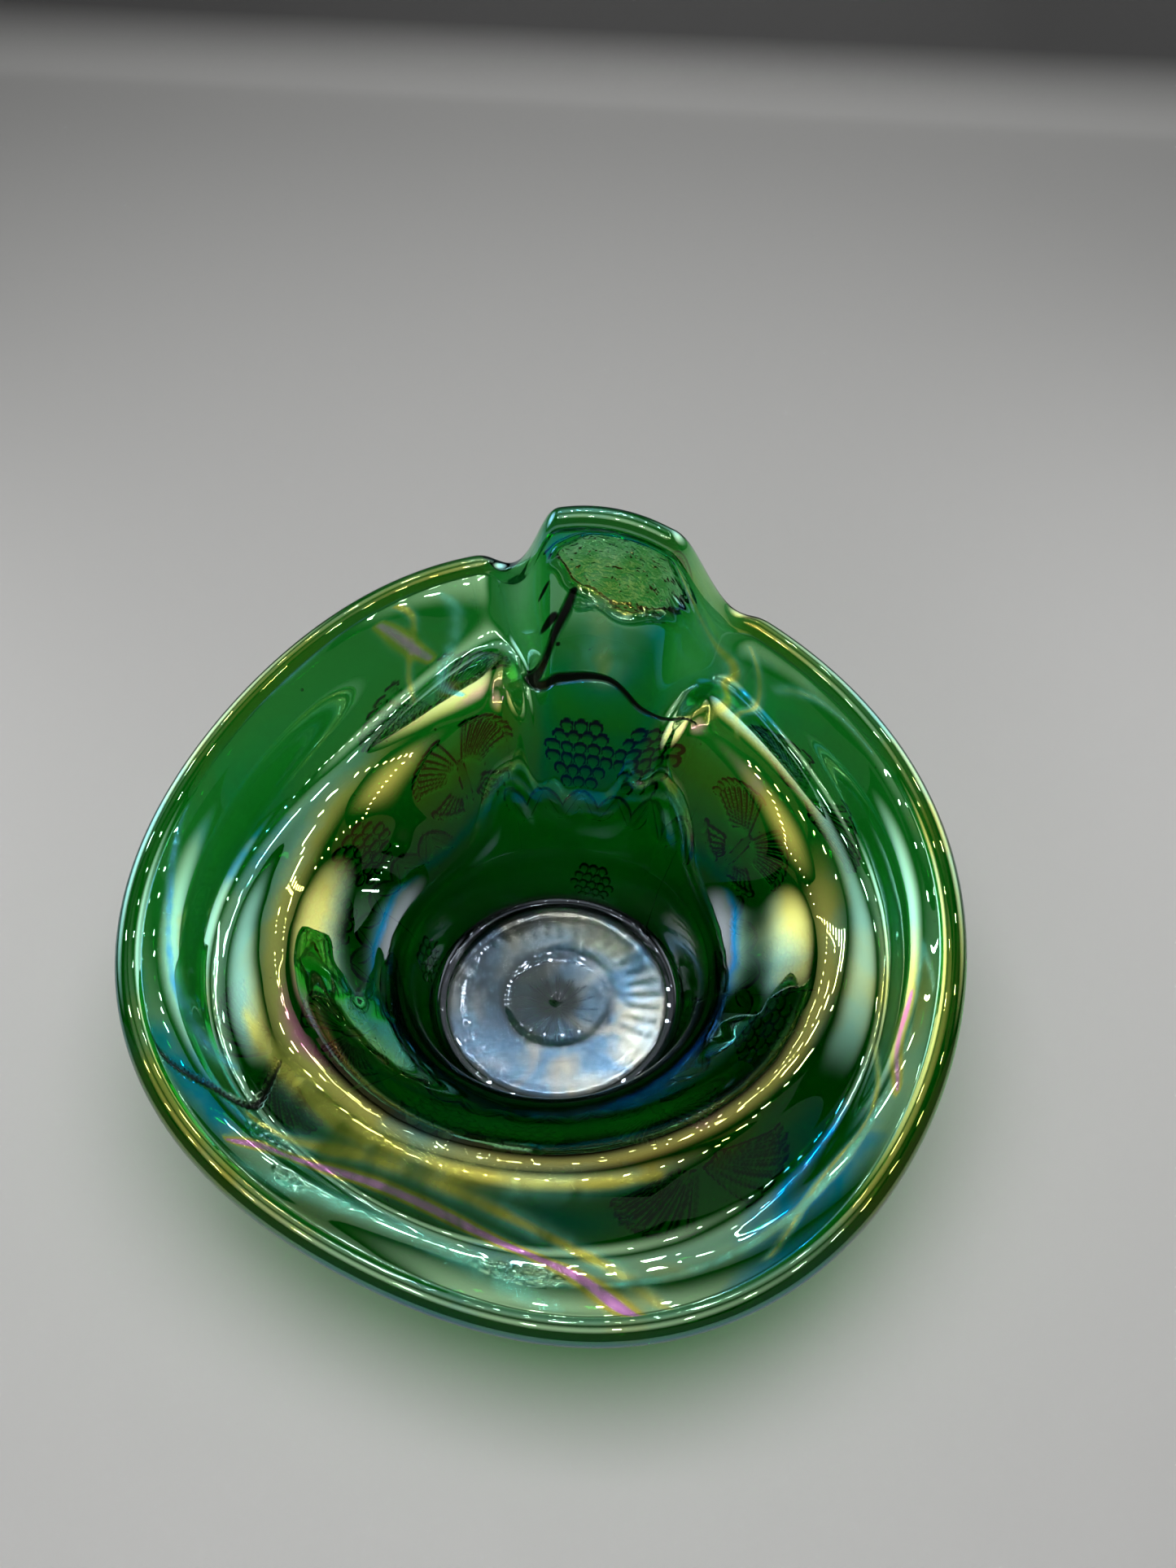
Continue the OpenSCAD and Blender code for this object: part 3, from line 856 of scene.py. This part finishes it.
# Rectangles of bright dots: half their length and width, their middle's y, the dots' pitch and scale
STRIPS = ((0.19, 0.15, 0.02, 0.034, 1.0), (0.055, 0.05, 0.235, 0.011, 0.4))
STRIP_HIGH, DOT = 0.40, (0.004, 0.012, 0.002)


def glowing(g, colour, strength):
    """A lamp's material that is only met by chance, and so only shows in reflections."""
    lamp = g.finish(g.node("ShaderNodeEmission", {"Color": colour, "Strength": strength}))
    lamp.cycles.emission_sampling = "NONE"
    return lamp


def only_mirrored(obj):
    obj.visible_camera = obj.visible_diffuse = obj.visible_shadow = False


def facing(where):
    """The turn that aims a lamp at the bowl."""
    return (BOWL_MIDDLE - Vector(where)).to_track_quat("-Z", "Y")


def card(name, where, size, radiance):
    """A glowing card with soft edges, seen only as a reflection in the glass."""
    bm = bmesh.new()
    bmesh.ops.create_grid(bm, x_segments=1, y_segments=1, size=0.5)
    g = Graph(name)
    at = g.node("ShaderNodeSeparateXYZ", {"Vector": g.node("ShaderNodeUVMap", uv_map="place")})
    across, along = at, Wire(g, at.socket.node.outputs[1])
    x, y = (across - 0.5) * 2.0, (along - 0.5) * 2.0
    fade = (1.0 - (x * x + y * y) ** 0.5).clamped()
    fade = fade * fade * (3.0 - 2.0 * fade)
    lamp = glowing(g, g.blend(fade, rgb(0, 0, 0), CLEAR), 2.0 * radiance)
    mesh = bpy.data.meshes.new(name)
    bm.to_mesh(mesh)
    bm.free()
    layer = mesh.uv_layers.new(name="place")
    for loop in mesh.loops:
        corner = mesh.vertices[loop.vertex_index].co
        layer.data[loop.index].uv = (corner.x + 0.5, corner.y + 0.5)
    turned = facing(where).to_matrix().to_4x4()
    mesh.transform(Matrix.Translation(where) @ turned @ Matrix.Diagonal((*size, 1, 1)))
    mesh.materials.append(lamp)
    obj = bpy.data.objects.new(name, mesh)
    bpy.context.collection.objects.link(obj)
    only_mirrored(obj)


def panel(name, where, size, radiance):
    """A soft lamp of even radiance, which the glass doesn't mirror."""
    light = bpy.data.lights.new(name, "AREA")
    light.shape, light.size, light.size_y = "RECTANGLE", *size
    light.energy = radiance * math.pi * size[0] * size[1] * settings().lamps
    obj = bpy.data.objects.new(name, light)
    obj.location = where
    obj.rotation_euler = facing(where).to_euler()
    obj.visible_camera = obj.visible_glossy = False
    bpy.context.collection.objects.link(obj)


def make_sweep():
    """A pale paper floor that turns up into a dark wall."""
    bend, back = 0.03, 0.578
    bm = bmesh.new()
    quarter = [(back + bend * math.sin(t), bend - bend * math.cos(t)) for t in rows(0, math.pi / 2, 8)]
    profile = [(-1.2, 0.0)] + quarter + [(back + bend, 1.2)]
    verts = [bm.verts.new((-1.4, y, z)) for y, z in profile]
    edges = [bm.edges.new(pair) for pair in zip(verts, verts[1:])]
    made = bmesh.ops.extrude_edge_only(bm, edges=edges)
    far = [v for v in made["geom"] if isinstance(v, bmesh.types.BMVert)]
    bmesh.ops.translate(bm, verts=far, vec=(2.8, 0, 0))
    pivot, turned = Matrix.Translation((0, back, 0)), Matrix.Rotation(math.radians(-8.6), 4, "Z")
    bmesh.ops.transform(bm, matrix=pivot @ turned @ pivot.inverted(), verts=bm.verts)
    bmesh.ops.recalc_face_normals(bm, faces=bm.faces)
    g = Graph("paper")
    height = g.node("ShaderNodeSeparateXYZ", {"Vector": g.node("ShaderNodeTexCoord", outlet=3)}, outlet=2)
    mottle = (g.noise(900.0, 2.0) - 0.5) * 0.12
    # Painted shade: the paper darkens from 2 mm up to dark grey at 32 mm, over the bend and the wall.
    grey = g.blend(((height - 0.002) / 0.03).clamped(), rgb(*settings().paper), rgb(0.11, 0.11, 0.11))
    paper = g.finish(g.node("ShaderNodeBsdfPrincipled", {"Base Color": grey, "Roughness": 0.5 + mottle}))
    obj = to_object(bm, "sweep", paper, lambda face: False)


def make_strips():
    """Strips of bright dots along the top of the light tent, seen only in the glass."""
    bm = bmesh.new()
    for half_x, half_y, middle_y, pitch, dot in STRIPS:
        for side in range(4):
            along_x = side % 2 == 0
            length = 2 * (half_x if along_x else half_y)
            across = (half_y if along_x else half_x) * (1 if side < 2 else -1)
            size = Matrix.Diagonal((*(DOT if along_x else (DOT[1], DOT[0], DOT[2])), 1))
            for k in range(int(length / pitch)):
                along = (k + 0.5) * pitch - length / 2
                x, y = (along, across) if along_x else (across, along)
                at = Matrix.Translation((x, y + middle_y, STRIP_HIGH))
                bmesh.ops.create_cube(bm, size=dot, matrix=at @ size)
    lamp = glowing(Graph("strip_dots"), rgb(0.95, 0.98, 1.0), 70.0)
    only_mirrored(to_object(bm, "strips", lamp, lambda face: False))


def make_lamps():
    """Soft lamps that light the stage, and cards that the glass mirrors."""
    panel("top_soft", (0.0, 0.0, 0.75), (0.7, 0.6), 4.0)
    panel("front_soft", (-0.35, -0.45, 0.35), (0.4, 0.3), 1.3)
    card("left_card", (-0.34, 0.17, 0.20), (0.52, 0.40), 2.4)
    card("right_card", (0.32, 0.20, 0.22), (0.66, 0.46), 1.8)
    card("top_card", (-0.05, 0.24, 0.50), (0.95, 0.60), 0.40)
    card("front_card", (-0.06, -0.16, 0.50), (0.70, 0.46), 0.65)
    world = bpy.data.worlds.new("tent")
    world.use_nodes = True
    ground = world.node_tree.nodes["Background"]
    ground.inputs["Color"].default_value = CLEAR
    ground.inputs["Strength"].default_value = 0.05
    bpy.context.scene.world = world


def make_camera():
    camera = bpy.data.cameras.new("camera")
    camera.lens, camera.sensor_width, camera.clip_start = CAMERA_LENS, CAMERA_SENSOR, 0.01
    obj = bpy.data.objects.new("camera", camera)
    obj.location = CAMERA_AT
    obj.rotation_euler = (math.radians(90 - CAMERA_DIP), 0, 0)
    bpy.context.collection.objects.link(obj)
    scene = bpy.context.scene
    scene.camera = obj
    scene.view_settings.view_transform = "Standard"
    scene.cycles.max_bounces, scene.cycles.transmission_bounces = 16, 14
    scene.cycles.glossy_bounces, scene.cycles.transparent_max_bounces = 8, 48


# ---------------------------------------------------------------- the add-on

class BowlSettings(bpy.types.PropertyGroup):
    """What a user would change before building the bowl."""
    soak: FloatVectorProperty(name="Soak", description="What a millimetre of the glass takes from red, "
                              "green and blue light", default=(1.10, 0.29, 0.92), min=0.01)
    shadow: FloatVectorProperty(name="Shadow", description="Colour of the light that the glass lets through",
                                default=(0.10, 0.46, 0.14), subtype="COLOR", min=0.0, max=1.0)
    paper: FloatVectorProperty(name="Paper", description="Colour of the floor", default=(0.54, 0.54, 0.53),
                               subtype="COLOR", min=0.0, max=1.0)
    bubbles: IntProperty(name="Bubbles", description="Number of seed bubbles", default=70, min=1)
    detail: FloatProperty(name="Detail", description="Share of the full number of rows and columns",
                          default=1.0, min=0.2, max=1.0, subtype="FACTOR")
    lamps: FloatProperty(name="Lamps", description="Brightness of the soft lamps", default=1.0, min=0.0,
                         subtype="FACTOR")


def step(idname, label, about, *makers):
    """An operator that runs a few makers in turn."""
    def execute(self, context):
        for maker in makers:
            maker()
        return {"FINISHED"}
    name = "BOWL_OT_" + idname.split(".")[1]
    return type(name, (bpy.types.Operator,), {
        "__doc__": about, "bl_idname": idname, "bl_label": label, "execute": execute})


STEPS = (
    step("bowl.stage", "Stage", "Floor, lamps and camera", make_sweep, make_strips, make_lamps, make_camera),
    step("bowl.base", "Base", "Foot ring and base disc", make_foot_ring, make_base_disc),
    step("bowl.wall", "Cup Wall", "The turned wall with its lower pattern", make_cup_wall),
    step("bowl.brim", "Brim", "Throat and flared brim", make_brim),
    step("bowl.neck", "Neck", "The pulled neck with its grip mark", make_neck),
    step("bowl.bead", "Lip Bead", "The fire-polished edge", make_lip_bead),
    step("bowl.bubbles", "Seed Bubbles", "Air trapped in the glass", make_seed_bubbles),
)


class BOWL_PT_panel(bpy.types.Panel):
    """Buttons for each part of the bowl"""
    bl_label = "Swung Glass Bowl"
    bl_space_type = "VIEW_3D"
    bl_region_type = "UI"
    bl_category = "Bowl"

    def draw(self, context):
        for name in BowlSettings.__annotations__:
            self.layout.prop(context.scene.bowl, name)
        for made in STEPS:
            self.layout.operator(made.bl_idname)


CLASSES = (BowlSettings, *STEPS, BOWL_PT_panel)


def register():
    for cls in CLASSES:
        bpy.utils.register_class(cls)
    bpy.types.Scene.bowl = PointerProperty(type=BowlSettings)


def unregister():
    del bpy.types.Scene.bowl
    for cls in reversed(CLASSES):
        bpy.utils.unregister_class(cls)


def main():
    register()
    for name in ("stage", "base", "wall", "brim", "neck", "bead", "bubbles"):
        getattr(bpy.ops.bowl, name)()


if __name__ == "__main__":
    main()
